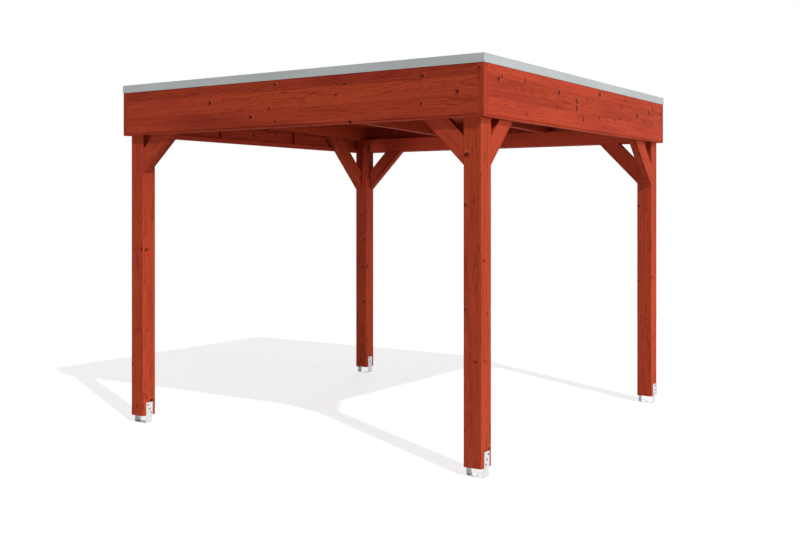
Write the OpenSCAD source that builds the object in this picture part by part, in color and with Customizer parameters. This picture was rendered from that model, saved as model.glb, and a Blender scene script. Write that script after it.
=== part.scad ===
// Flat-roofed timber gazebo: four posts on steel anchors, knee braces, two beams,
// four rafters falling to the back, a boarded deck with a membrane, and a board
// fascia with an edge trim all round.
// X runs along the front, Y to the back, Z up. The ground is at z = 0.

/* [Plan] */
// Width over the fascia boards, along X
overall_w = 3000; // [2200:50:4200]
// Depth over the fascia boards, along Y
overall_d = 3000; // [2200:50:4200]

/* [Heights] */
// Clear height below the fascia
clear_h = 2096; // [1900:10:2600]
// Fall of the roof towards the back, in degrees
roof_fall = 1.5; // [1:0.25:2]
// Height of the roof edge above the membrane at the front
upstand_h = 31; // [20:5:60]

/* [Posts] */
// Side of the square posts
post_side = 120; // [90:5:160]
// Radius of the eased post edges
post_edge_r = 5; // [2:1:8]

/* [Braces] */
// Reach of a brace's lower edge along the post and along the beam
brace_reach = 353; // [280:5:450]
// Width of a brace in its own plane
brace_w = 120; // [80:5:140]
// Thickness of a brace
brace_t = 60; // [40:5:70]

/* [Beams and rafters] */
// Thickness of the front and back beams
beam_t = 60; // [45:5:75]
// Height of the front and back beams
beam_h = 120; // [100:5:180]
// Drop of the fascia below the back beam
beam_lift = 5; // [2:1:20]
// Thickness of a rafter
rafter_t = 60; // [45:5:75]
// Height of a rafter
rafter_h = 120; // [90:5:160]
// Depth of the rafter's seat cut over a beam
seat_cut = 10; // [6:1:20]

/* [Roof] */
// Thickness of the deck boards
deck_t = 19; // [16:1:28]
// Thickness of the roof membrane
membrane_t = 2; // [1.5:0.5:4]

/* [Fascia] */
// Thickness of the fascia boards
fascia_t = 20; // [16:1:28]
// Thickness of the spacers between the fascia and the frame
spacer_t = 20; // [15:1:30]
// Width of the upright spacer battens
batten_w = 100; // [60:5:140]
// Number of battens behind each fascia panel
batten_count = 4; // [2:1:6]
// Gap from the frame's corner to the first batten
batten_inset = 18; // [0:2:60]
// Height of the rail along the inside of the fascia's lower edge
rail_h = 34; // [24:2:50]
// Height of the edge trim's outer leg
trim_h = 54; // [40:2:80]
// Thickness of the edge trim
trim_t = 3; // [2:0.5:4]
// Reach of the edge trim over the membrane
trim_lap = 8; // [4:1:20]

/* [Anchors] */
// Width of the anchor strap
strap_w = 60; // [50:5:80]
// Thickness of the anchor strap
strap_t = 5; // [4:0.5:8]
// Gap from the ground to the underside of a post
foot_h = 57; // [40:1:90]
// Height of the tabs on the sides of a post
tab_h = 95; // [70:5:140]
// Outer radius of the strap's bends
bend_r = 12; // [10:1:16]
// Diameter of the ground bolt's hole in each anchor
ground_hole_d = 13; // [9:1:17]

/* [Hidden] */
$fn = 48;

// Colours of the stained wood, the steel, the trim and the membrane
wood = [0.62, 0.22, 0.14];
dark_wood = [0.45, 0.16, 0.10];
steel = [0.78, 0.79, 0.80];
trim_grey = [0.72, 0.73, 0.74];
membrane_grey = [0.20, 0.20, 0.21];

// Half sizes of the timber frame, over the posts
frame_x = overall_w / 2 - fascia_t - spacer_t;
frame_y = overall_d / 2 - fascia_t - spacer_t;

// Centres of the posts
post_x = frame_x - post_side / 2;
post_y = frame_y - post_side / 2;

// Height of the rafters' underside where they leave the back beam
slope = tan(roof_fall);
back_beam_z = clear_h + beam_lift;
seat_y = frame_y - beam_t;
underside_back_z = back_beam_z + beam_h - seat_cut;
function underside_z(y) = underside_back_z + slope * (seat_y - y);
front_beam_z = underside_z(-seat_y) + seat_cut - beam_h;

// Heights of the layers, measured plumb
rafter_rise = rafter_h / cos(roof_fall);
deck_rise = deck_t / cos(roof_fall);
membrane_rise = membrane_t / cos(roof_fall);
function deck_z(y) = underside_z(y) + rafter_rise;
function membrane_z(y) = deck_z(y) + deck_rise;
fascia_top_z = membrane_z(-frame_y) + membrane_rise + upstand_h;
fascia_h = fascia_top_z - clear_h;

// Length of a brace's end against a post
brace_foot = brace_w * sqrt(2);

// Centre of an edge rafter, flush with the outer face of the posts
edge_rafter_x = frame_x - rafter_t / 2;

// Corner strip, as deep as the boards and their spacers
strip_side = fascia_t + spacer_t;

// Length that a cut or a mitre block runs past the piece that it shapes
past = 50;

// Plan outline of a post with eased edges
module post_outline() {
  flat = post_side - 2 * post_edge_r;
  square([post_side, flat], center = true);
  square([flat, post_side], center = true);
  for (x = [-flat / 2, flat / 2], y = [-flat / 2, flat / 2])
    translate([x, y])
      circle(r = post_edge_r);
}

// Upright solid between two planes along Y, from an outline of [y, z] points
module along_x(points, x_from, x_to) {
  translate([x_from, 0, 0])
    rotate([90, 0, 90])
      linear_extrude(x_to - x_from)
        polygon(points);
}

// Post, notched on its outer side for the beam and cut to the rafter's underside
module post(sx, sy) {
  beam_z = sy < 0 ? front_beam_z : back_beam_z;
  notch_y = sy < 0 ? -frame_y - past : seat_y;
  color(wood)
    difference() {
      translate([sx * post_x, sy * post_y, foot_h])
        linear_extrude(underside_z(-frame_y) + past - foot_h)
          post_outline();
      translate([sx * post_x - post_side, notch_y, beam_z])
        cube([2 * post_side, beam_t + past, beam_h + 4 * past]);
      along_x(
        [for (y = [-frame_y - past, frame_y + past]) [y, underside_z(y)],
         [frame_y + past, fascia_top_z + 2 * past],
         [-frame_y - past, fascia_top_z + 2 * past]],
        sx * post_x - post_side, sx * post_x + post_side);
    }
}

// Rounded trough outline, open at the top, for the strap's lower bends
module trough_outline(half_w, z_from, z_to, r) {
  translate([-half_w, z_from + r])
    square([2 * half_w, z_to - z_from - r]);
  translate([-half_w + r, z_from])
    square([2 * (half_w - r), r]);
  for (s = [-1, 1])
    translate([s * (half_w - r), z_from + r])
      circle(r = r);
}

// Steel anchor: a strap bent to a trough below the post, with a shoulder under the
// post's edge and a tab up each side
module anchor(sx, sy) {
  half = post_side / 2;
  color(steel)
    translate([sx * post_x, sy * post_y, 0])
      difference() {
        rotate([90, 0, 0])
          linear_extrude(strap_w, center = true) {
            difference() {
              trough_outline(half, 0, foot_h, bend_r);
              trough_outline(half - strap_t, strap_t, foot_h + past, bend_r - strap_t);
            }
            for (s = [-1, 1]) {
              translate([s * half - strap_t, foot_h - strap_t])
                square([2 * strap_t, strap_t]);
              translate([s * (half + strap_t / 2) - strap_t / 2, foot_h - strap_t])
                square([strap_t, strap_t + tab_h]);
            }
          }
        translate([0, 0, -past])
          cylinder(d = ground_hole_d, h = 2 * past);
      }
}

// Beam let into the outer side of two posts
module beam(sy) {
  beam_z = sy < 0 ? front_beam_z : back_beam_z;
  color(wood)
    translate([-frame_x, sy < 0 ? -frame_y : seat_y, beam_z])
      cube([2 * frame_x, beam_t, beam_h]);
}

// Rafter with a level seat cut over each beam
module rafter(x_centre) {
  front_seat_z = front_beam_z + beam_h;
  back_seat_z = back_beam_z + beam_h;
  color(dark_wood)
    along_x(
      [[-frame_y, front_seat_z],
       [-seat_y, front_seat_z],
       [-seat_y, underside_z(-seat_y)],
       [seat_y, underside_z(seat_y)],
       [seat_y, back_seat_z],
       [frame_y, back_seat_z],
       [frame_y, deck_z(frame_y)],
       [-frame_y, deck_z(-frame_y)]],
      x_centre - rafter_t / 2, x_centre + rafter_t / 2);
}

// Brace at 45 degrees in the plane of a beam, from the post to the beam's underside
module beam_brace(sx, sy) {
  beam_z = sy < 0 ? front_beam_z : back_beam_z;
  color(wood)
    translate([sx * (frame_x - post_side), sy < 0 ? -frame_y + brace_t : frame_y, beam_z])
      mirror([sx > 0 ? 1 : 0, 0, 0])
        rotate([90, 0, 0])
          linear_extrude(brace_t)
            polygon([
              [0, -brace_reach],
              [brace_reach, 0],
              [brace_reach - brace_foot, 0],
              [0, -brace_reach + brace_foot]
            ]);
}

// Brace below an edge rafter: it leaves the post at the height of the beam's brace
// and runs on up to the rafter's underside
module side_brace(sx, sy) {
  face_y = frame_y - post_side;
  low_z = (sy < 0 ? front_beam_z : back_beam_z) - brace_reach;
  head_z = underside_z(sy * face_y) - low_z;
  run_low = head_z / (1 - sy * slope);
  run_up = (head_z - brace_foot) / (1 - sy * slope);
  color(wood)
    along_x(
      [[sy * face_y, low_z],
       [sy * (face_y - run_low), low_z + run_low],
       [sy * (face_y - run_up), low_z + brace_foot + run_up],
       [sy * face_y, low_z + brace_foot]],
      sx < 0 ? -frame_x : frame_x - brace_t, sx < 0 ? -frame_x + brace_t : frame_x);
}

// Slab that follows the roof's fall between two plumb heights
module sloped_slab(z_low, z_high) {
  along_x(
    [[-frame_y, z_low[0]], [frame_y, z_low[1]], [frame_y, z_high[1]], [-frame_y, z_high[0]]],
    -frame_x, frame_x);
}

// Boarded deck across the rafters
module roof_deck() {
  color(wood)
    sloped_slab(
      [deck_z(-frame_y), deck_z(frame_y)],
      [membrane_z(-frame_y), membrane_z(frame_y)]);
}

// Membrane over the deck, turned up inside the roof edge on all sides
module roof_membrane() {
  inner_y = frame_y - membrane_t;
  color(membrane_grey)
    difference() {
      sloped_slab(
        [membrane_z(-frame_y), membrane_z(frame_y)],
        [fascia_top_z, fascia_top_z]);
      along_x(
        [[-inner_y, membrane_z(-inner_y) + membrane_rise],
         [inner_y, membrane_z(inner_y) + membrane_rise],
         [inner_y, fascia_top_z + past],
         [-inner_y, fascia_top_z + past]],
        -frame_x + membrane_t, frame_x - membrane_t);
    }
}

// Piece drawn for the front edge, turned to one of the four sides.
// side: 0 front, 1 right, 2 back, 3 left
module to_side(side) {
  rotate([0, 0, 90 * side])
    children();
}

// Half length and outer distance of the frame seen from a side
function half_run(side) = side % 2 == 0 ? frame_x : frame_y;
function half_off(side) = side % 2 == 0 ? frame_y : frame_x;

// Fascia board panel between two corner strips
module fascia(side) {
  color(wood)
    to_side(side)
      translate([-half_run(side), -half_off(side) - spacer_t - fascia_t, clear_h])
        cube([2 * half_run(side), fascia_t, fascia_h]);
}

// Square strip that closes a corner of the fascia
module corner_strip(sx, sy) {
  color(wood)
    translate([sx < 0 ? -frame_x - strip_side : frame_x,
               sy < 0 ? -frame_y - strip_side : frame_y, clear_h])
      cube([strip_side, strip_side, fascia_h]);
}

// Upright battens between the frame and the fascia boards
module battens(side) {
  first = -half_run(side) + batten_inset + batten_w / 2;
  step = -2 * first / (batten_count - 1);
  color(dark_wood)
    to_side(side)
      for (i = [0 : batten_count - 1])
        translate([first + i * step - batten_w / 2, -half_off(side) - spacer_t,
                   clear_h + rail_h])
          cube([batten_w, spacer_t, fascia_h - rail_h]);
}

// Rail along the inside of the fascia's lower edge
module rail(side) {
  color(wood)
    to_side(side)
      translate([-half_run(side), -half_off(side) - spacer_t, clear_h])
        cube([2 * half_run(side), spacer_t, rail_h]);
}

// Angle trim over the top of the fascia, mitred at both ends
module edge_trim(side) {
  outer = half_off(side) + strip_side + trim_t;
  run = half_run(side) + strip_side + trim_t;
  lap = strip_side + trim_t + membrane_t + trim_lap;
  top = fascia_top_z + trim_t;
  color(trim_grey)
    to_side(side)
      intersection() {
        translate([-run, -outer, 0])
          rotate([90, 0, 90])
            linear_extrude(2 * run)
              polygon([
                [0, top - trim_h],
                [trim_t, top - trim_h],
                [trim_t, fascia_top_z],
                [lap, fascia_top_z],
                [lap, top],
                [0, top]
              ]);
        translate([0, 0, top - 2 * trim_h])
          linear_extrude(3 * trim_h)
            polygon([
              [-run, -outer],
              [run, -outer],
              [run - 2 * lap, -outer + 2 * lap],
              [-run + 2 * lap, -outer + 2 * lap]
            ]);
      }
}

post(-1, -1);  // left_front_post
post(1, -1);  // right_front_post
post(-1, 1);  // left_back_post
post(1, 1);  // right_back_post
anchor(-1, -1);  // left_front_anchor
anchor(1, -1);  // right_front_anchor
anchor(-1, 1);  // left_back_anchor
anchor(1, 1);  // right_back_anchor
beam(-1);  // front_beam
beam(1);  // back_beam
rafter(-edge_rafter_x);  // left_edge_rafter
rafter(-edge_rafter_x / 3);  // left_rafter
rafter(edge_rafter_x / 3);  // right_rafter
rafter(edge_rafter_x);  // right_edge_rafter
beam_brace(-1, -1);  // left_front_beam_brace
beam_brace(1, -1);  // right_front_beam_brace
beam_brace(-1, 1);  // left_back_beam_brace
beam_brace(1, 1);  // right_back_beam_brace
side_brace(-1, -1);  // left_front_side_brace
side_brace(1, -1);  // right_front_side_brace
side_brace(-1, 1);  // left_back_side_brace
side_brace(1, 1);  // right_back_side_brace
roof_deck();
roof_membrane();
fascia(0);  // front_fascia
fascia(2);  // back_fascia
fascia(3);  // left_fascia
fascia(1);  // right_fascia
corner_strip(-1, -1);  // left_front_corner_strip
corner_strip(1, -1);  // right_front_corner_strip
corner_strip(-1, 1);  // left_back_corner_strip
corner_strip(1, 1);  // right_back_corner_strip
battens(0);  // front_battens
battens(2);  // back_battens
battens(3);  // left_battens
battens(1);  // right_battens
rail(0);  // front_rail
rail(2);  // back_rail
rail(3);  // left_rail
rail(1);  // right_rail
edge_trim(0);  // front_trim
edge_trim(2);  // back_trim
edge_trim(3);  // left_trim
edge_trim(1);  // right_trim
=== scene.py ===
# %% [markdown]
# # A stained timber gazebo with a flat roof
# The gazebo stands on four posts. Two beams and four rafters carry a boarded roof, and a deep
# fascia of three boards hides all of it from outside. The carpentry comes ready from the CAD
# model, so this lesson gives every surface its finish and adds what is too fine for CAD: the
# single boards, the strips of felt and the screws. The frame is loaded first, because every
# position is read from it.

# %% Load the frame
import math

import bmesh
import bpy
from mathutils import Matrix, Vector


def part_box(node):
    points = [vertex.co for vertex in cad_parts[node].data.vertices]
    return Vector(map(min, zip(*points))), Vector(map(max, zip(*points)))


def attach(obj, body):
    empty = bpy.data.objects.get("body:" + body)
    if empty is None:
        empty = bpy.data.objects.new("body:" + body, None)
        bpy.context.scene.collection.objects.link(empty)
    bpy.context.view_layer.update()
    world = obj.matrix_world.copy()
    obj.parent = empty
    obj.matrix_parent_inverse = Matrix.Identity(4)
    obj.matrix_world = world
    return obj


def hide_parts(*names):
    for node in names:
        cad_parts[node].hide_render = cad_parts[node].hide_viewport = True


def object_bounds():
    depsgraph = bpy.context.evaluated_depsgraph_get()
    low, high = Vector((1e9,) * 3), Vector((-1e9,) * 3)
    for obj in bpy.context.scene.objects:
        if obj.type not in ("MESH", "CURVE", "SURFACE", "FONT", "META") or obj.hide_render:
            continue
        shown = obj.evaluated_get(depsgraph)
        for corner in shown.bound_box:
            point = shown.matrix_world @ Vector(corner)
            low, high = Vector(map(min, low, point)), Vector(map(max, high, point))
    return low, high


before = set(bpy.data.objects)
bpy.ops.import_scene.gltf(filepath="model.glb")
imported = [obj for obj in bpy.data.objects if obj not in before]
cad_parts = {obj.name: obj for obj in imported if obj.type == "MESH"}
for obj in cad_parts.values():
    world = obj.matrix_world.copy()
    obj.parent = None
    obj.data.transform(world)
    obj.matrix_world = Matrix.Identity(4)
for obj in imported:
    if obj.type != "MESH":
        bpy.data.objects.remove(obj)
cad_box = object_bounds()
MM = 0.001
SIDES = {"front": (0, -1), "back": (0, 1), "left": (-1, 0), "right": (1, 0)}
CORNERS = [f"{side}_{end}" for side in ("left", "right") for end in ("front", "back")]


def box_of(node):
    """The lowest and highest corner of a CAD node."""
    return tuple(Vector(corner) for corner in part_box(node))


cad_size = [round(high - low, 3) for low, high in zip(*cad_box)]
print("loaded", len(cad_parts), "CAD nodes in a box of", cad_size, "m")

# %% [markdown]
# ## Camera
# A gazebo is looked at by a standing person, a few steps off one corner. A camera could be tilted
# up at the roof, but then the posts lean together. Here the lens looks level, which keeps the
# posts upright, and a small shift of the lens brings the roof and all four feet into view.

# %% Camera
EYE = (4.3953, -6.7484, 1.5705)
HEADING = math.radians(33.487)
LENS = 46.98
LENS_SHIFT = -0.0734
SENSOR = 36

camera_data = bpy.data.cameras.new("camera")
camera_data.lens = LENS
camera_data.sensor_width = SENSOR
camera_data.shift_y = LENS_SHIFT
camera = bpy.data.objects.new("camera", camera_data)
camera.location = EYE
camera.rotation_euler = (math.pi / 2, 0, HEADING)
bpy.context.collection.objects.link(camera)
bpy.context.scene.camera = camera
print("camera stands", round(math.hypot(EYE[0], EYE[1]), 2), "m from the middle of the gazebo")

# %% [markdown]
# ## Node trees written as sums
# A wood pattern is mostly arithmetic, and arithmetic is easier to read as Python than as dozens
# of linked boxes. `Link` wraps one output socket, so that `1 - knot * 0.5` adds its own Math
# nodes, and Vector Math nodes where the socket is a vector. `Tree.node` makes every other kind
# of node: its settings are set first, because they decide which sockets it shows.

# %% Node helpers
def work(operation, *terms):
    """A Math node on the terms, or a Vector Math node where the first linked one is a vector."""
    link = next(term for term in terms if isinstance(term, Link))
    kind = "ShaderNodeVectorMath" if link.socket.type == "VECTOR" else "ShaderNodeMath"
    made = link.tree.node(kind, {"operation": operation}, dict(enumerate(terms)))
    return next(iter(made.values()))


class Link:
    """An output socket that can stand in a Python expression."""

    def __init__(self, tree, socket):
        self.tree = tree
        self.socket = socket

    def __add__(self, other):
        return work("ADD", self, other)

    def __radd__(self, other):
        return work("ADD", other, self)

    def __sub__(self, other):
        return work("SUBTRACT", self, other)

    def __rsub__(self, other):
        return work("SUBTRACT", other, self)

    def __mul__(self, other):
        return work("MULTIPLY", self, other)

    def __rmul__(self, other):
        return work("MULTIPLY", other, self)

    def __truediv__(self, other):
        return work("DIVIDE", self, other)

    def __rtruediv__(self, other):
        return work("DIVIDE", other, self)

    def __abs__(self):
        return work("ABSOLUTE", self)

    def rise(self, start, end):
        """A smooth step from 0 at start to 1 at end."""
        smooth = {"interpolation_type": "SMOOTHSTEP"}
        sockets = {"Value": self, "From Min": start, "From Max": end}
        return self.tree.node("ShaderNodeMapRange", smooth, sockets)["Result"]


class Tree:
    """A node tree with one method that adds a node of any type."""

    def __init__(self, node_tree):
        self.tree = node_tree
        self.tree.nodes.clear()

    def node(self, kind, settings=None, sockets=None):
        made = self.tree.nodes.new(kind)
        for name, value in (settings or {}).items():
            setattr(made, name, value)
        for name, value in (sockets or {}).items():
            self.feed(made, name, value)
        return {socket.name: Link(self, socket) for socket in made.outputs if socket.enabled}

    def feed(self, made, name, value):
        if isinstance(name, int):
            socket = made.inputs[name]
        else:
            socket = next(one for one in made.inputs if one.enabled and one.name == name)
        for source in value if isinstance(value, list) else [value]:
            if isinstance(source, Link):
                self.tree.links.new(source.socket, socket)
            else:
                socket.default_value = source

    def mix(self, factor, first, second):
        """A blend of two colours."""
        sockets = {"Factor": factor, "A": first, "B": second}
        return self.node("ShaderNodeMix", {"data_type": "RGBA"}, sockets)["Result"]

    def noise(self, place, detail=2.0, roughness=0.5):
        """Smooth noise from 0 to 1, one wave to each unit of place."""
        sockets = {"Vector": place, "Scale": 1.0, "Detail": detail, "Roughness": roughness}
        return next(iter(self.node("ShaderNodeTexNoise", {}, sockets).values()))

    def bump(self, height, strength, depth):
        """The surface normal over a relief of a depth in millimetres."""
        sockets = {"Strength": strength, "Distance": depth * MM, "Height": height}
        return self.node("ShaderNodeBump", {}, sockets)["Normal"]


def linear(red, green, blue):
    """A colour in the 0 to 255 of a paint chart as the linear colour that a shader takes."""
    parts = [part / 255 for part in (red, green, blue)]
    return tuple(p / 12.92 if p <= 0.04045 else ((p + 0.055) / 1.055) ** 2.4 for p in parts) + (1.0,)


def grey(level):
    """A plain grey of a linear level."""
    return (level, level, level, 1.0)


def finish_material(name, fixed):
    """A material whose shader has the fixed values set on its own sockets."""
    material = bpy.data.materials.new(name)
    material.use_nodes = True
    tree = Tree(material.node_tree)
    shader = tree.tree.nodes.new("ShaderNodeBsdfPrincipled")
    for socket, value in fixed.items():
        shader.inputs[socket].default_value = value
    tree.node("ShaderNodeOutputMaterial", {}, {"Surface": Link(tree, shader.outputs[0])})
    return material, tree, shader


print("a mid grey of 128 is", round(linear(128, 128, 128)[0], 3), "to a shader")

# %% [markdown]
# ## Lamps
# Out of doors one sun and the whole sky light a gazebo. One sun lamp alone would leave the inside
# of the roof black, and a bright sky would wash out the posts. So the sun comes from the right
# and a little from the front, where it lights the side of each post more than its front, and wide
# soft lamps fill the shadows. The front one shines very slightly upwards, because that is the only
# way past the deep fascia to the beam at the back. Each lamp has the way towards it, its strength
# and its width in degrees.

# %% Lamps
LAMPS = {
    "sun": ((0.67, -0.37, 0.64), 1.65, 1.0),
    "front_fill": ((-0.1, -1.0, -0.055), 0.58, 5.0),
    "right_fill": ((1.0, 0.05, 0.1), 1.55, 30.0),
    "back_fill": ((-0.5, 1.0, 0.3), 0.8, 30.0),
}

for name, (towards, energy, wide) in LAMPS.items():
    lamp = bpy.data.lights.new(name, "SUN")
    lamp.energy = energy
    lamp.angle = math.radians(wide)
    holder = bpy.data.objects.new(name, lamp)
    holder.rotation_euler = Vector(towards).to_track_quat("Z", "Y").to_euler()
    bpy.context.collection.objects.link(holder)
bpy.context.scene.view_settings.view_transform = "Standard"
print("lit by", ", ".join(LAMPS))

# %% [markdown]
# ## Sky and floor
# A white sky and a white floor could simply be bright, but then they would light the gazebo too.
# Light Path tells apart who is looking. The camera, a mirror and glass see a white sky and a floor
# with a glow of its own, which turns it white and keeps the shadow on it pale. Light that bounces
# meets a weak sky and a grey floor. The floor casts no shadow, so it doesn't stop the low lamp.

# %% Sky and floor
SKY_STRENGTH = 0.14
FLOOR_SPAN = 16.0
FLOOR_SEEN = 0.6
FLOOR_GLOW = 0.72
FLOOR_BOUNCE = 0.5
WHITE = grey(1.0)


def seen(tree):
    """1 for a ray from the camera, also by way of metal or glass, and 0 for light that bounces."""
    path = tree.node("ShaderNodeLightPath")
    plain = work("MAXIMUM", path["Is Camera Ray"], path["Is Glossy Ray"])
    return work("MAXIMUM", plain, path["Is Transmission Ray"])


world = bpy.data.worlds.new("sky")
bpy.context.scene.world = world
world.use_nodes = True
sky = Tree(world.node_tree)
strength = SKY_STRENGTH + seen(sky) * (1.0 - SKY_STRENGTH)
light = sky.node("ShaderNodeBackground", {}, {"Color": WHITE, "Strength": strength})
sky.node("ShaderNodeOutputWorld", {}, {"Surface": light["Background"]})

floor_material = bpy.data.materials.new("pale floor")
floor_material.use_nodes = True
ground = Tree(floor_material.node_tree)
pale = ground.node("ShaderNodeBsdfDiffuse", {}, {"Color": grey(FLOOR_SEEN)})["BSDF"]
glow = ground.node("ShaderNodeEmission", {}, {"Color": WHITE, "Strength": FLOOR_GLOW})["Emission"]
dull = ground.node("ShaderNodeBsdfDiffuse", {}, {"Color": grey(FLOOR_BOUNCE)})["BSDF"]
shown = ground.node("ShaderNodeAddShader", {}, {0: pale, 1: glow})["Shader"]
surface = ground.node("ShaderNodeMixShader", {}, {0: seen(ground), 1: dull, 2: shown})["Shader"]
ground.node("ShaderNodeOutputMaterial", {}, {"Surface": surface})

half = FLOOR_SPAN / 2
rim = [(-half, -half, 0), (half, -half, 0), (half, half, 0), (-half, half, 0)]
floor_mesh = bpy.data.meshes.new("floor")
floor_mesh.from_pydata(rim, [], [(0, 1, 2, 3)])
floor_mesh.materials.append(floor_material)
floor = bpy.data.objects.new("floor", floor_mesh)
bpy.context.collection.objects.link(floor)
floor.visible_shadow = False
print("a floor of", FLOOR_SPAN, "m under a sky of strength", SKY_STRENGTH)

# %% [markdown]
# ## Knots
# Spruce is full of small knots. Each is the root of a branch: a dark core, with painted shade on one
# side of it and a painted highlight on the other, as light falls on a raised knot. They could be
# drawn on an image, but an image repeats and has to be unwrapped onto every board. A Voronoi
# texture scatters one point in each cell of a grid instead, and the distance to that point,
# divided by a radius in millimetres, draws the knot at its true size. It works in the plane of a
# face, because a branch goes straight into the wood from the face where it shows.

# %% Knots
KNOT_CELL = (0.28, 0.088)
KNOT_SCATTER = 0.85
KNOT_BEND = 30 * MM
BEND_WAVES = 28.0
KNOTLESS = 0.33
LEAST_SIZE = 0.02
CORE_EDGE = (0.7, 1.2)
HALO_EDGE = (0.9, 2.4)
FACE_SHIFT = (0.31, 0.53)


def grain_turn(direction):
    """The turn that lays a direction along the X axis of the pattern."""
    return Vector(direction).rotation_difference(Vector((1, 0, 0))).to_euler()


def knots_in(tree, grain, facing, axes, sizes):
    """The distance to the nearest knot and the way past it along the grain, both in its radii.

    axes names the two axes of the pattern along and across the faces of a board. A square timber
    names none, and then each of its four long faces has knots of its own. Cells whose random
    number is below KNOTLESS stay clear, and LEAST_SIZE keeps their distance finite.
    """
    ripple = {"Vector": grain, "Scale": BEND_WAVES, "Detail": 1.0}
    waves = tree.node("ShaderNodeTexNoise", {}, ripple)["Color"]
    bend = {0: waves, 1: (KNOT_BEND, KNOT_BEND, KNOT_BEND), 2: grain}
    bent = tree.node("ShaderNodeVectorMath", {"operation": "MULTIPLY_ADD"}, bend)["Vector"]
    parts = tree.node("ShaderNodeSeparateXYZ", {}, {"Vector": bent})
    if axes:
        places = [parts[axis] for axis in axes]
    else:
        face = tree.node("ShaderNodeSeparateXYZ", {}, {"Vector": facing})
        across = parts["Y"] * abs(face["Z"]) + parts["Z"] * abs(face["Y"])
        across = across + face["Y"] * FACE_SHIFT[0] + face["Z"] * FACE_SHIFT[1]
        places = [parts["X"], across]
    spread = dict(zip("XY", [place / cell for place, cell in zip(places, KNOT_CELL)]))
    cells = tree.node("ShaderNodeCombineXYZ", {}, spread)["Vector"]
    around = {"Vector": cells, "Scale": 1.0, "Randomness": KNOT_SCATTER}
    knots = tree.node("ShaderNodeTexVoronoi", {"voronoi_dimensions": "2D"}, around)
    radii = [cell / (size * MM) for cell, size in zip(KNOT_CELL, sizes)]
    away = (cells - knots["Position"]) * (*radii, 0.0)
    luck = tree.node("ShaderNodeSeparateColor", {}, {"Color": knots["Color"]})["Red"]
    distance = work("LENGTH", away) / (luck.rise(KNOTLESS, 1.0) + LEAST_SIZE)
    return distance, tree.node("ShaderNodeSeparateXYZ", {}, {"Vector": away})["X"]


print("a knot at most every", KNOT_CELL[0], "m along and", KNOT_CELL[1], "m across the grain")

# %% [markdown]
# ## Grain
# Under a stain the grain still shows. An image of a board would look the same on its face and on
# its sawn end. A solid texture is worked out in space instead, so it runs through the piece:
# straight along the sides and as rings on an end. Every pattern here is noise that is stretched
# along the grain. The year rings are the contour lines of a slow noise, and they swing out round
# a knot. Streaks, fine fibres, cloudy patches and thin dark seams lie over them. The numbers
# are waves to a metre, along and across.

# %% Grain
YEAR_WAVES = (0.4, 4.5, 4.5)
STREAK_WAVES = (1.8, 46.0, 46.0)
FIBRE_WAVES = (16.0, 480.0, 480.0)
PATCH_WAVES = (0.7, 3.0, 3.0)
SEAM_WAVES = (1.6, 30.0, 30.0)
YEARS = 60
RING_SWING = 1.6
SEAM_THIN = 45
MEAN_TONE = 0.64
LATE_WOOD = (0.3, 0.88)


def grain_in(tree, grain, halo, tone):
    """The tone of the wood from deep to pale, its patches, its fibres and its relief."""
    phase = tree.noise(grain * YEAR_WAVES, 1.5) * YEARS + halo * RING_SWING
    year = work("FRACT", phase)
    late = year.rise(*LATE_WOOD) * (1 - year.rise(LATE_WOOD[1], 1.0))
    streaks = tree.noise(grain * STREAK_WAVES, 4.0, 0.65)
    fibres = tree.noise(grain * FIBRE_WAVES, 2.0)
    patches = tree.noise(grain * PATCH_WAVES, 2.0)
    crack = abs(tree.noise(grain * SEAM_WAVES, 2.0, 0.7) - 0.5) * SEAM_THIN
    seams = (1 - crack.rise(0.0, 1.0)) * patches.rise(0.4, 0.6)
    pale = tone + (streaks - 0.5) + (patches - 0.5) * 1.5 + (fibres - 0.5) * 0.4
    pale = pale - late * 0.17 - seams * 0.7 + MEAN_TONE
    relief = fibres * 0.35 + late * 0.3 + streaks * 0.35
    return pale, patches, fibres, relief


print("year rings about", round(1 / YEAR_WAVES[1] / YEARS / MM, 1), "mm apart across the grain")

# %% [markdown]
# ## Stained wood
# The stain is a matt red-brown that soaks in. Pale wood takes up less of it and a sawn end takes
# up more, so the colour follows the grain and isn't painted over it. One colour would look like
# plastic, and a ramp of many is hard to tune, so two close stain colours are mixed in patches and
# then with one deep one. A board keeps a random number of its own, which shifts the pattern and
# the tone, so that no two boards match.

# %% Stained wood
STAIN = linear(202, 76, 48)
STAIN_WARM = linear(190, 73, 42)
STAIN_DEEP = linear(136, 40, 23)
END_STAIN = linear(104, 36, 23)
KNOT = linear(56, 14, 6)
# The painted shade and the painted highlight that lie beside each knot
KNOT_PAINTED_SHADE = linear(110, 32, 17)
KNOT_PAINTED_HIGHLIGHT = linear(226, 108, 76)
BOARD_SHIFT = (17.0, 11.0, 13.0)
BOARD_TONES = 0.5
SEED_SHIFT = Vector((3.1, 1.7, 2.3))


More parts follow.
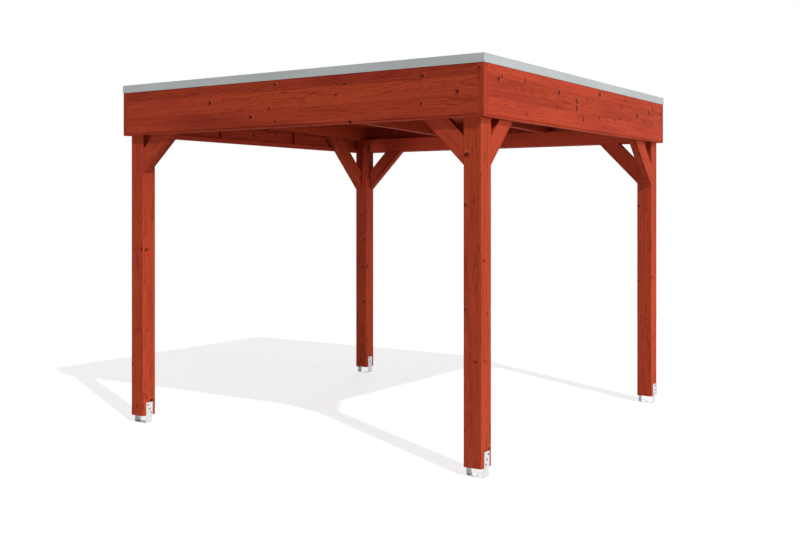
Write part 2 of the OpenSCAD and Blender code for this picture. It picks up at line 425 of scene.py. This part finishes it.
def stained_wood(name, direction, seed, axes="", knot_size=(11, 12), boards=False, tone=0.0):
    """Stained spruce with its grain along direction and knots with radii in millimetres."""
    material, tree, shader = finish_material(name, {"IOR": 1.45, "Specular IOR Level": 0.12})
    coordinates = tree.node("ShaderNodeTexCoord")
    place = coordinates["Object"]
    if boards:
        number = tree.node("ShaderNodeAttribute", {"attribute_name": "board"})["Fac"]
        shift = {0: BOARD_SHIFT, "Scale": number}
        place = place + tree.node("ShaderNodeVectorMath", {"operation": "SCALE"}, shift)["Vector"]
        tone = (number - 0.5) * BOARD_TONES + tone
    turned = {"Vector": place, "Rotation": grain_turn(direction), "Location": SEED_SHIFT * seed}
    grain = tree.node("ShaderNodeMapping", {}, turned)["Vector"]
    turned = {"Vector": coordinates["Normal"], "Rotation": grain_turn(direction)}
    facing = tree.node("ShaderNodeMapping", {"vector_type": "VECTOR"}, turned)["Vector"]

    lengthwise = tuple(Vector(direction).normalized())
    sawn = abs(work("DOT_PRODUCT", coordinates["Normal"], lengthwise)).rise(0.6, 0.95)
    distance, past = knots_in(tree, grain, facing, axes, knot_size)
    core = (1 - distance.rise(*CORE_EDGE)) * (1 - sawn)
    halo = (1 - distance.rise(*HALO_EDGE)) * (1 - sawn)
    pale, patches, fibres, relief = grain_in(tree, grain, halo, tone)

    light = tree.mix(patches.rise(0.4, 0.65), STAIN, STAIN_WARM)
    colour = tree.mix(pale.rise(-0.1, 1.1), STAIN_DEEP, light)
    colour = tree.mix(sawn * 0.6, colour, END_STAIN)
    # Painted shade on one side of each knot and a painted highlight on the other, along the grain
    colour = tree.mix(halo * (1 - past.rise(-0.8, 0.8)) * 0.5, colour, KNOT_PAINTED_SHADE)
    colour = tree.mix(halo * past.rise(0.3, 1.3) * 0.45, colour, KNOT_PAINTED_HIGHLIGHT)
    tree.feed(shader, "Base Color", tree.mix(core * 0.86, colour, KNOT))
    tree.feed(shader, "Roughness", 0.68 + (fibres - 0.5) * 0.2)
    tree.feed(shader, "Normal", tree.bump(relief - core * 0.5 + halo * 0.5, 0.5, 1.2))
    return material


print("stain of", [round(part, 3) for part in STAIN[:3]])

# %% [markdown]
# ## Planed members
# Posts, beams, rafters, braces, battens and strips are planed square timber, and a planer never
# leaves a knife edge. They could be drawn again with round edges, but their CAD meshes already
# have the right shape. So these stay, and three modifiers soften them: Weld joins the loose
# triangles, Decimate clears the flat faces and Bevel takes off the arrises, which then catch
# a thin line of light. Each way that a member can lie has a wood of its own, because the grain
# follows the member. The posts come from CAD with their long edges already rounded.

# %% Planed members
ARRIS = 2.0 * MM
WELD_REACH = 0.05 * MM
FLAT_BELOW = math.radians(1)
SHARP_ABOVE = math.radians(40)
POST_KNOTS = (14, 17)


def soften(node, width):
    """Take the sharp edges off a CAD node, without touching its mesh."""
    piece = bpy.data.objects[node]
    weld = piece.modifiers.new("weld", "WELD")
    weld.merge_threshold = WELD_REACH
    clear = piece.modifiers.new("clear", "DECIMATE")
    clear.decimate_type = "DISSOLVE"
    clear.angle_limit = FLAT_BELOW
    bevel = piece.modifiers.new("arris", "BEVEL")
    bevel.width = width
    bevel.segments = 2
    bevel.limit_method = "ANGLE"
    bevel.angle_limit = SHARP_ABOVE


def coat(node, material, arris=0.0):
    """Give a CAD node its material, and soft edges where a width is given."""
    for slot in bpy.data.objects[node].material_slots:
        slot.material = material
    if arris:
        soften(node, arris)


post_wood = stained_wood("post_wood", (0, 0, 1), 1, knot_size=POST_KNOTS, tone=0.1)
strip_wood = stained_wood("strip_wood", (0, 0, 1), 2)
# Beams, rafters and rails lie in shade under the roof: tones of 0.4 and 0.3 make their wood paler,
# painted light that stands in for the light under the roof
beam_wood_with_painted_light = stained_wood("beam_wood_with_painted_light", (1, 0, 0), 3, tone=0.4)
rafter_wood_with_painted_light = stained_wood("rafter_wood_with_painted_light", (0, 1, 0), 4, tone=0.3)
for corner in CORNERS:
    coat(f"{corner}_post", post_wood)
    coat(f"{corner}_corner_strip", strip_wood, ARRIS)
    inward_x = 1 if corner.startswith("left") else -1
    inward_y = 1 if corner.endswith("front") else -1
    braces = {"beam_brace": ((inward_x, 0, 1), 5), "side_brace": ((0, inward_y, 1), 6)}
    for brace, (slope, seed) in braces.items():
        node = f"{corner}_{brace}"
        coat(node, stained_wood(f"{node}_wood", slope, seed, tone=0.12), ARRIS)
for node in ("front_beam", "back_beam", "front_rail", "back_rail"):
    coat(node, beam_wood_with_painted_light, ARRIS)
for node in ("left_edge_rafter", "left_rafter", "right_rafter", "right_edge_rafter"):
    coat(node, rafter_wood_with_painted_light, ARRIS)
for node in ("left_rail", "right_rail"):
    coat(node, rafter_wood_with_painted_light, ARRIS)
for side in SIDES:
    coat(f"{side}_battens", strip_wood, ARRIS)
print("coated the members, with", len(bpy.data.materials), "materials so far")

# %% [markdown]
# ## A tree that lays boards
# The fascia, the roof and the felt are long strips laid side by side. Each strip could be
# modelled by hand, or copied with an Array modifier, but an Array can't tell its copies apart.
# Geometry Nodes can: a section is pushed along the run, its start is closed with a turned copy,
# the strip is set out again at every step, and each copy keeps a random number for its material.
# The section itself is drawn in Python, where a chamfer or a tongue is easiest to write down.

# %% Board tree
JOIN_REACH = 0.01 * MM


def new_group(name, kinds, result):
    """An empty geometry node group with named inputs, its tree and its inputs as links."""
    group = bpy.data.node_groups.new(name, "GeometryNodeTree")
    tree = Tree(group)
    for title, kind in kinds.items():
        group.interface.new_socket(title, in_out="INPUT", socket_type=f"NodeSocket{kind}")
    group.interface.new_socket(result, in_out="OUTPUT", socket_type="NodeSocketGeometry")
    return group, tree, tree.node("NodeGroupInput")


def close_group(tree, instances, finish, result):
    """Make the instances real, give them their material and end the tree."""
    real = tree.node("GeometryNodeRealizeInstances", {}, {"Geometry": instances})["Geometry"]
    done = tree.node("GeometryNodeSetMaterial", {}, {"Geometry": real, "Material": finish})["Geometry"]
    tree.node("NodeGroupOutput", {}, {result: done})


def board_tree():
    """Geometry nodes that sweep a section into a board and repeat it."""
    kinds = {"Section": "Geometry", "Run": "Vector", "Step": "Vector"}
    kinds.update({"Count": "Int", "Seed": "Int", "Finish": "Material"})
    group, tree, given = new_group("boards", kinds, "Boards")
    push = {"Mesh": given["Section"], "Offset": given["Run"], "Offset Scale": 1.0, "Individual": False}
    swept = tree.node("GeometryNodeExtrudeMesh", {}, push)["Mesh"]
    start = tree.node("GeometryNodeFlipFaces", {}, {"Mesh": given["Section"]})["Mesh"]
    whole = tree.node("GeometryNodeJoinGeometry", {}, {"Geometry": [swept, start]})["Geometry"]
    joined = {"Geometry": whole, "Distance": JOIN_REACH}
    board = tree.node("GeometryNodeMergeByDistance", {}, joined)["Geometry"]
    steps = {"Count": given["Count"], "Offset": given["Step"]}
    row = tree.node("GeometryNodeMeshLine", {}, steps)["Mesh"]
    laid = tree.node("GeometryNodeInstanceOnPoints", {}, {"Points": row, "Instance": board})["Instances"]
    number = tree.node("FunctionNodeRandomValue", {}, {"Seed": given["Seed"]})["Value"]
    on_copies = {"data_type": "FLOAT", "domain": "INSTANCE"}
    labelled = {"Geometry": laid, "Name": "board", "Value": number}
    kept = tree.node("GeometryNodeStoreNamedAttribute", on_copies, labelled)["Geometry"]
    close_group(tree, kept, given["Finish"], "Boards")
    return group


boards = board_tree()
print("the board tree has", len(boards.nodes), "nodes")

# %% [markdown]
# ## From a tree to a piece
# A node group is only a recipe until a modifier runs it. The result could stay live, but a model
# that leaves Blender needs plain meshes. So a helper object runs the group, its result is copied
# as a mesh, and the modifier is gone before the piece is handed to the frame.

# %% Piece helpers
LITRE = 0.001


def grow(group, mesh, values):
    """Run a node group on a mesh and return the result as a plain mesh."""
    worker = bpy.data.objects.new("worker", mesh)
    bpy.context.collection.objects.link(worker)
    modifier = worker.modifiers.new("grow", "NODES")
    modifier.node_group = group
    for socket in group.interface.items_tree:
        if socket.name in values:
            modifier[socket.identifier] = values[socket.name]
    bpy.context.view_layer.update()
    graph = bpy.context.evaluated_depsgraph_get()
    grown = bpy.data.meshes.new_from_object(worker.evaluated_get(graph), depsgraph=graph)
    worker.modifiers.remove(modifier)
    bpy.data.objects.remove(worker)
    return grown


def piece_of(name, meshes, slot, *stands_for):
    """Join meshes into one piece that rides on the gazebo."""
    joined = bmesh.new()
    for mesh in meshes:
        joined.from_mesh(mesh)
    volume = joined.calc_volume(signed=True)
    result = bpy.data.meshes.new(name)
    joined.to_mesh(result)
    joined.free()
    for material in meshes[0].materials:
        result.materials.append(material)
    piece = bpy.data.objects.new(name, result)
    bpy.context.collection.objects.link(piece)
    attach(piece, "root")
    if stands_for:
        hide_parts(*stands_for)
    print(name, "has", len(result.polygons), "faces and", round(volume / LITRE, 2), "litres")


def section_mesh(points, run):
    """One flat face through the points, facing along the run."""
    drawn = bmesh.new()
    face = drawn.faces.new([drawn.verts.new(point) for point in points])
    face.normal_update()
    if face.normal.dot(Vector(run)) < 0:
        face.normal_flip()
    mesh = bpy.data.meshes.new("section")
    drawn.to_mesh(mesh)
    drawn.free()
    return mesh


def strips(points, run, step, count, seed, finish):
    """Lay a section as strips along the run, one at each step."""
    values = {"Run": run, "Step": step, "Count": count, "Seed": seed, "Finish": finish}
    return grow(boards, section_mesh(points, run), values)


inputs = [socket.name for socket in boards.interface.items_tree if socket.in_out == "INPUT"]
print("a row of strips is laid from its", ", ".join(inputs))

# %% [markdown]
# ## Fascia
# Each side of the roof edge has three boards, one above the other. They meet in fine V joints,
# which come from a small chamfer on every long edge. The lines could be drawn with bump, but
# only a real chamfer shows at the corner and in the outline. The lowest board also has a groove
# and a narrow bead that leans back along its bottom edge, so that rain drips off clear of the
# wood. The corner strips close the ends.

# %% Fascia
BOARDS_HIGH = 3
JOINT_CHAMFER = 1.3 * MM
BEAD_HIGH = 7 * MM
GROOVE_HIGH = 7 * MM
GROOVE_DEEP = 6 * MM
BEAD_LEAN = 2 * MM
FASCIA_WOODS = {
    "X": stained_wood("fascia_wood_across", (1, 0, 0), 7, "XZ", (13, 12), boards=True),
    "Y": stained_wood("fascia_wood_deep", (0, 1, 0), 7, "XZ", (16, 19), boards=True),
}
FASCIA_SEEDS = {"X": 10, "Y": 20}


def plain_edge(out, bottom):
    """The lower edge of a board that stands on the next one."""
    return [(out - JOINT_CHAMFER, bottom), (out, bottom + JOINT_CHAMFER)]


def drip_edge(out, bottom):
    """The lower edge of the lowest board: a bead, then a groove."""
    return [
        (out - 2 * BEAD_LEAN, bottom),
        (out - BEAD_LEAN, bottom + BEAD_HIGH),
        (out - GROOVE_DEEP, bottom + BEAD_HIGH + GROOVE_HIGH / 2),
        (out, bottom + BEAD_HIGH + GROOVE_HIGH),
    ]


def fascia_section(out, inner, bottom, top, edge):
    """The outline of a board as (distance out, height), with its chamfers."""
    upper = [(out, top - JOINT_CHAMFER), (out - JOINT_CHAMFER, top), (inner, top)]
    return [(inner, bottom), *edge(out, bottom), *upper]


for side, (out_x, out_y) in SIDES.items():
    outward = Vector((out_x, out_y, 0))
    along = Vector((-out_y, out_x, 0))
    axis = "X" if out_x == 0 else "Y"
    box_low, box_high = box_of(f"{side}_fascia")
    inner, out = sorted(abs(corner.dot(outward)) for corner in (box_low, box_high))
    half_run = abs((box_high - box_low).dot(along)) / 2
    board_high = (box_high.z - box_low.z) / BOARDS_HIGH
    layers = []
    for first, count, edge in ((0, 1, drip_edge), (1, BOARDS_HIGH - 1, plain_edge)):
        bottom = box_low.z + first * board_high
        outline = fascia_section(out, inner, bottom, bottom + board_high, edge)
        points = [outward * far - along * half_run + Vector((0, 0, up)) for far, up in outline]
        seed = FASCIA_SEEDS[axis] + 2 * first
        step = Vector((0, 0, board_high))
        layers.append(strips(points, along * half_run * 2, step, count, seed, FASCIA_WOODS[axis]))
    piece_of(f"{side}_fascia_boards", layers, "stained_boards", f"{side}_fascia")

# %% [markdown]
# ## Roof boards
# From below, the roof is a ceiling of narrow boards that run from side to side over the rafters.
# One plane with a striped bump would do from afar, but a person stands right under this ceiling.
# So each board is real: it has a tongue on one edge and a groove on the other, and its lower
# edges are chamfered, so the joints show as V grooves. The board tree lays them, with the fall of
# the roof in its step.

# %% Roof boards
DECK_BOARD = 121 * MM
TONGUE = 6 * MM
V_GROOVE = 3 * MM
TONGUE_SHARE = (0.35, 0.65)
EASE_SHARE = 0.03
DECK_SEED = 5


def heights_at(mesh, depth):
    """The lowest and highest point of a mesh on the line across it at a depth."""
    heights = [vertex.co.z for vertex in mesh.vertices if abs(vertex.co.y - depth) < MM]
    return min(heights), max(heights)


deck_low, deck_high = box_of("roof_deck")
deck_mesh = bpy.data.objects["roof_deck"].data
front_under, front_top = heights_at(deck_mesh, deck_low.y)
back_under = heights_at(deck_mesh, deck_high.y)[0]
deck_depth = deck_high.y - deck_low.y
fall = (front_under - back_under) / deck_depth
thick = front_top - front_under
count = round(deck_depth / DECK_BOARD)
pitch = (deck_depth - TONGUE) / count
lower, upper = (thick * share for share in TONGUE_SHARE)
ease = thick * EASE_SHARE
underside = [(V_GROOVE, 0), (pitch - V_GROOVE, 0), (pitch, V_GROOVE)]
tongue = [(pitch, lower), (pitch + TONGUE, lower + ease), (pitch + TONGUE, upper - ease), (pitch, upper)]
top = [(pitch, thick), (0, thick)]
groove = [(0, upper + ease), (TONGUE, upper), (TONGUE, lower), (0, lower - ease)]
shape = underside + tongue + top + groove + [(0, V_GROOVE)]
points = [(deck_low.x, deck_low.y + far, front_under - far * fall + up) for far, up in shape]
run = Vector((deck_high.x - deck_low.x, 0, 0))
step = Vector((0, pitch, -pitch * fall))
deck_wood = stained_wood("deck_wood", (1, 0, 0), 8, "XY", (9, 10), boards=True)
ceiling = strips(points, run, step, count, DECK_SEED, deck_wood)
piece_of("roof_boards", [ceiling], "deck_boards", "roof_deck")
print(count, "boards of", round(pitch / MM), "mm on a fall of", round(fall * 100, 1), "in 100")

# %% [markdown]
# ## Edge trim
# A folded strip of light grey aluminium caps the fascia. Plain metal would mirror the white
# surroundings and vanish against them, and rolled sheet is never even. So this is a satin
# coat with only a little metal in it, with faint lines from the rolls and cloudy patches.

# %% Edge trim
TRIM_GREY = linear(191, 196, 196)
SHEET_ARRIS = 0.6 * MM
ROLL_WAVES = (2.0, 300.0, 300.0)
CLOUD_WAVES = (1.5, 6.0, 6.0)
DARKEST_CLOUD = 0.86


def sheet_metal(name, direction, colour, roughness, metallic):
    """Rolled sheet with faint lines along direction."""
    material, tree, shader = finish_material(name, {"Specular IOR Level": 0.4})
    place = tree.node("ShaderNodeTexCoord")["Object"]
    turned = {"Vector": place, "Rotation": grain_turn(direction)}
    grain = tree.node("ShaderNodeMapping", {}, turned)["Vector"]
    lines = tree.noise(grain * ROLL_WAVES, 3.0, 0.6)
    clouds = tree.noise(grain * CLOUD_WAVES, 3.0)
    dark = tuple(part * DARKEST_CLOUD for part in colour[:3]) + (1.0,)
    shade = (clouds * 0.7 + lines * 0.3).rise(0.3, 0.7)
    tree.feed(shader, "Base Color", tree.mix(shade, dark, colour))
    tree.feed(shader, "Roughness", roughness + (clouds - 0.5) * 0.2)
    tree.feed(shader, "Metallic", metallic + (clouds - 0.5) * 0.1)
    tree.feed(shader, "Normal", tree.bump(lines * 0.4 + clouds, 0.15, 1.0))
    return material


for side, (out_x, out_y) in SIDES.items():
    trim_metal = sheet_metal(f"{side}_trim_metal", (-out_y, out_x, 0), TRIM_GREY, 0.5, 0.15)
    coat(f"{side}_trim", trim_metal, SHEET_ARRIS)
print("metal on", len(SIDES), "trims")

# %% [markdown]
# ## Post anchors
# The anchors are bent from flat steel and dipped in molten zinc, which freezes into flat
# crystals, each of its own grey. Noise alone looks like dirt on steel. Voronoi cells have the
# straight edges of the crystals, and one random number for each cell sets its grey.

# %% Post anchors
CRYSTALS = 150.0
ZINC_WEAR = (30.0, 30.0, 30.0)
ZINC_DARK = linear(198, 201, 203)
ZINC_LIGHT = linear(232, 233, 233)


def galvanised(name):
    """Hot-dip galvanised steel."""
    material, tree, shader = finish_material(name, {"Specular IOR Level": 0.5})
    place = tree.node("ShaderNodeTexCoord")["Object"]
    crystals = tree.node("ShaderNodeTexVoronoi", {}, {"Vector": place, "Scale": CRYSTALS})
    luck = tree.node("ShaderNodeSeparateColor", {}, {"Color": crystals["Color"]})
    wear = tree.noise(place * ZINC_WEAR, 4.0, 0.6)
    shade = luck["Red"] * 0.5 + wear * 0.5
    tree.feed(shader, "Base Color", tree.mix(shade, ZINC_DARK, ZINC_LIGHT))
    tree.feed(shader, "Roughness", 0.36 + luck["Green"] * 0.14 + wear * 0.1)
    tree.feed(shader, "Metallic", 0.35 + luck["Blue"] * 0.15)
    tree.feed(shader, "Normal", tree.bump(luck["Red"] + wear, 0.12, 0.6))
    return material


zinc = galvanised("galvanised_steel")
for corner in CORNERS:
    coat(f"{corner}_anchor", zinc, SHEET_ARRIS)
print("zinc on", len(CORNERS), "anchors, in crystals of about", round(1 / CRYSTALS / MM), "mm")

# %% [markdown]
# ## Roofing felt
# The membrane inside the edge is bitumen felt under fine slate grit. Felt comes in rolls, which
# are rolled out across the fall, the lowest first, and each next one laps over the one below it,
# so that water runs from strip to strip and never under one. A line of bump could stand for
# a lap, but a real step casts the thin shadow that shows from above. A strip is a section with
# a step in it, and the tree that laid the boards lays it.

# %% Roofing felt
FELT_THICK = 3 * MM
LAP = 90 * MM
STRIPS = 3
STRIP_SEED = 9
GRIT = 700.0
FELT_PATCHES = (2.5, 2.5, 2.5)
FELT_DARK = linear(58, 60, 63)
FELT_LIGHT = linear(118, 120, 123)


def roofing_felt(name):
    """Felt with slate grit, a little different on every strip."""
    material, tree, shader = finish_material(name, {"Specular IOR Level": 0.3})
    place = tree.node("ShaderNodeTexCoord")["Object"]
    grit = tree.node("ShaderNodeTexVoronoi", {}, {"Vector": place, "Scale": GRIT})
    shade = tree.node("ShaderNodeSeparateColor", {}, {"Color": grit["Color"]})["Red"]
    patches = tree.noise(place * FELT_PATCHES, 4.0, 0.6)
    strip = tree.node("ShaderNodeAttribute", {"attribute_name": "board"})["Fac"]
    worn = shade * 0.4 + patches.rise(0.25, 0.75) * 0.4 + strip * 0.2
    tree.feed(shader, "Base Color", tree.mix(worn, FELT_DARK, FELT_LIGHT))
    tree.feed(shader, "Roughness", 0.8 + (patches - 0.5) * 0.2)
    tree.feed(shader, "Normal", tree.bump(shade, 0.6, 1.0))
    return material


felt = roofing_felt("roofing_felt")
coat("roof_membrane", felt)
felt_low, felt_high = box_of("roof_membrane")
felt_mesh = bpy.data.objects["roof_membrane"].data
corners = [vertex.co for vertex in felt_mesh.vertices]
inside = [point for point in corners if felt_low.y + MM < point.y < felt_high.y - MM]
front_y = min(point.y for point in inside)
back_y = max(point.y for point in inside)
half_wide = max(point.x for point in inside)
front_level = heights_at(felt_mesh, front_y)[0]
back_level = heights_at(felt_mesh, back_y)[0]
felt_fall = (front_level - back_level) / (back_y - front_y)
pitch = (back_y - front_y - LAP) / STRIPS
over = [(0, FELT_THICK), (0, 2 * FELT_THICK), (LAP, 2 * FELT_THICK)]
flat = [(LAP + FELT_THICK, FELT_THICK), (pitch + LAP, FELT_THICK), (pitch + LAP, 0)]
shape = over + flat + [(LAP + FELT_THICK, 0), (LAP, FELT_THICK)]
points = [(-half_wide, back_y - far, back_level + far * felt_fall + up) for far, up in shape]
run = Vector((2 * half_wide, 0, 0))
step = Vector((0, -pitch, pitch * felt_fall))
piece_of("felt_strips", [strips(points, run, step, STRIPS, STRIP_SEED, felt)], "roof_membrane")
print(STRIPS, "strips of felt,", round(pitch + LAP, 2), "m wide")

# %% [markdown]
# ## Screws in the post anchors
# Three screws hold each tab of an anchor to its post. They are set in a slanting row, so that
# no two of them split the wood along the same fibre. A head could be a cylinder, but a real one
# has a shoulder and a hollow for the driver. Nodes turn it step by step, as a lathe would: a disc
# is pushed up, narrowed to the shoulder and sunk in the middle. Every point of the input mesh
# says which way its screw faces.

# %% Screw tree
# Each step lifts the top of the head by a share of its height and then scales that top.
HEAD_STEPS = ((0.45, 1.0), (0.35, 0.84), (0.2, 0.7), (0.0, 0.62), (-0.6, 0.9))
HEAD_CORNERS = 18
SCREW_WEAR = (260.0, 260.0, 260.0)
SCREW_DARK = linear(24, 24, 26)
SCREW_WORN = linear(66, 66, 68)


def screw_tree():
    """Geometry nodes that put a screw head on every point."""
    kinds = {"Points": "Geometry", "Head width": "Float", "Head height": "Float", "Steel": "Material"}
    group, tree, given = new_group("screws", kinds, "Screws")
    disc = {"Vertices": HEAD_CORNERS, "Radius": given["Head width"] * 0.5}
    shape = tree.node("GeometryNodeMeshCircle", {"fill_type": "NGON"}, disc)["Mesh"]
    top = True
    for lift, scale in HEAD_STEPS:
        push = {"Mesh": shape, "Selection": top, "Individual": False}
        push["Offset Scale"] = given["Head height"] * lift
        raised = tree.node("GeometryNodeExtrudeMesh", {}, push)
        top = raised["Top"]
        narrow = {0: raised["Mesh"], 1: top, "Scale": scale}
        shape = next(iter(tree.node("GeometryNodeScaleElements", {}, narrow).values()))
    vector = {"data_type": "FLOAT_VECTOR"}
    facing = tree.node("GeometryNodeInputNamedAttribute", vector, {"Name": "facing"})["Attribute"]
    turn = tree.node("FunctionNodeAlignRotationToVector", {"axis": "Z"}, {"Vector": facing})["Rotation"]
    set_out = {"Points": given["Points"], "Instance": shape, "Rotation": turn}
    heads = tree.node("GeometryNodeInstanceOnPoints", {}, set_out)["Instances"]
    close_group(tree, heads, given["Steel"], "Screws")
    return group


def dark_steel(name):
    """Phosphated screw steel: near black, a little worn in patches."""
    material, tree, shader = finish_material(name, {"Specular IOR Level": 0.5})
    place = tree.node("ShaderNodeTexCoord")["Object"]
    wear = tree.noise(place * SCREW_WEAR, 3.0, 0.6)
    tree.feed(shader, "Base Color", tree.mix(wear.rise(0.4, 0.75), SCREW_DARK, SCREW_WORN))
    tree.feed(shader, "Roughness", 0.42 + (wear - 0.5) * 0.3)
    tree.feed(shader, "Metallic", wear.rise(0.45, 0.8) * 0.8)
    return material


screws = screw_tree()
print("the screw tree has", len(screws.nodes), "nodes")

# %% [markdown]
# ## Setting the screws
# The places could be typed in as a table, but then a wider anchor would leave its screws behind.
# They are worked out from the box of each anchor instead: a row below the top of each tab, on the
# outer face of the steel.

# %% Screws
SCREWS_PER_TAB = 3
HEAD_WIDE = 11 * MM
HEAD_HIGH = 3 * MM
SCREW_RISE = 29 * MM
SCREW_SHIFT = 15 * MM
ROW_DOWN = 47 * MM

spots = []
facings = []
for corner in CORNERS:
    anchor_low, anchor_high = box_of(f"{corner}_anchor")
    middle = (anchor_low + anchor_high) / 2
    slant = 1 if corner.startswith("left") else -1
    for face in (-1, 1):
        x = middle.x + face * (anchor_high.x - anchor_low.x) / 2
        for place in range(SCREWS_PER_TAB):
            row = place - (SCREWS_PER_TAB - 1) / 2
            y = middle.y - slant * row * SCREW_SHIFT
            spots.append((x, y, anchor_high.z - ROW_DOWN + row * SCREW_RISE))
            facings.append((face, 0, 0))
screw_points = bpy.data.meshes.new("screw points")
screw_points.from_pydata(spots, [], [])
facing = screw_points.attributes.new("facing", "FLOAT_VECTOR", "POINT")
for value, direction in zip(facing.data, facings):
    value.vector = direction
values = {"Head width": HEAD_WIDE, "Head height": HEAD_HIGH, "Steel": dark_steel("screw_steel")}
piece_of("anchor_screws", [grow(screws, screw_points, values)], "galvanised_steel")
print("set", len(spots), "screws")
